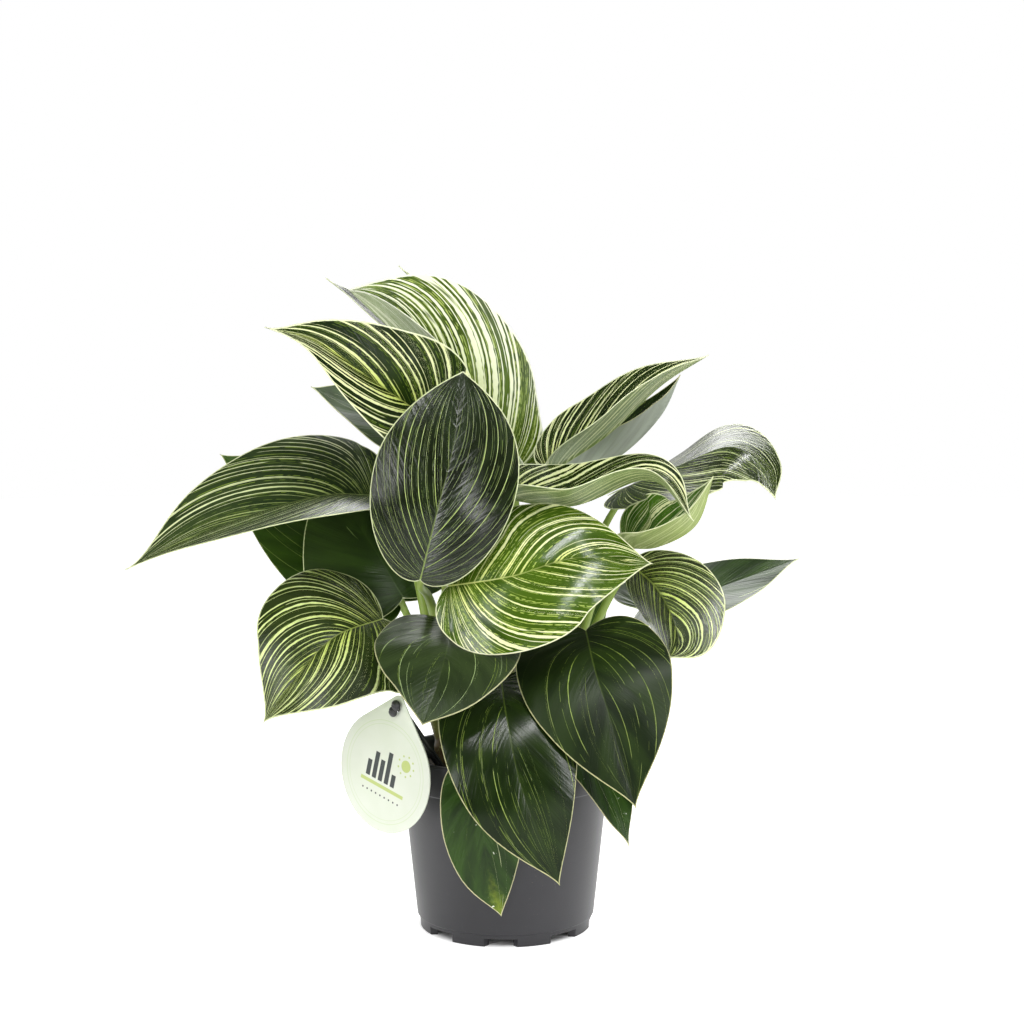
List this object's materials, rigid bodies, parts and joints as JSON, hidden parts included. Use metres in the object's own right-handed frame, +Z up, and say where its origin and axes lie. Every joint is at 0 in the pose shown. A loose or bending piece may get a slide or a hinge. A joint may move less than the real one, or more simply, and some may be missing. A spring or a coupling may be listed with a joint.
{
  "type": "potted birkin philodendron",
  "caption": "Leafy house plant with striped heart-shaped leaves on arching stalks, in a round plastic nursery pot of soil with a hanging card tag.",
  "frame": {"origin": "middle of the underside of the pot, on its vertical axis, at the level it stands on", "axes": "+Z up, -Y towards the front of the plant, where the tag hangs, +X to the right as seen from the front"},
  "size_m": [0.3712, 0.2225, 0.3723],
  "materials": {
    "pot_plastic": "dark grey moulded plastic, satin",
    "soil": "dark crumbly peat and bark",
    "stalk": "smooth yellow-green stalks with reddish bases",
    "leaf": "glossy dark green with cream pinstripes",
    "card": "pale green-white printed card",
    "stake_plastic": "black moulded plastic"
  },
  "bodies": {
    "root": {"pot": "pot_plastic", "soil": "soil", "crown_left": "stalk", "crown_middle": "stalk", "crown_right": "stalk", "leaf_top": "leaf", "leaf_upper_left": "leaf", "leaf_upper_left_under": "leaf", "leaf_top_back_left": "leaf", "leaf_top_back": "leaf", "leaf_front_upright": "leaf", "leaf_far_left": "leaf", "leaf_left_back": "leaf", "leaf_left_inner": "leaf", "leaf_lower_left": "leaf", "leaf_front_small": "leaf", "leaf_centre": "leaf", "leaf_lower_right": "leaf", "leaf_lower_front": "leaf", "leaf_over_rim_front": "leaf", "leaf_over_rim_right": "leaf", "leaf_centre_behind": "leaf", "leaf_right_hanging": "leaf", "leaf_far_right": "leaf", "leaf_right_arching": "leaf", "leaf_right_level": "leaf", "leaf_upper_right": "leaf", "leaf_upper_right_back": "leaf", "leaf_right_young": "leaf", "tag_card": "card", "tag_stake": "stake_plastic"}
  },
  "joints": []
}
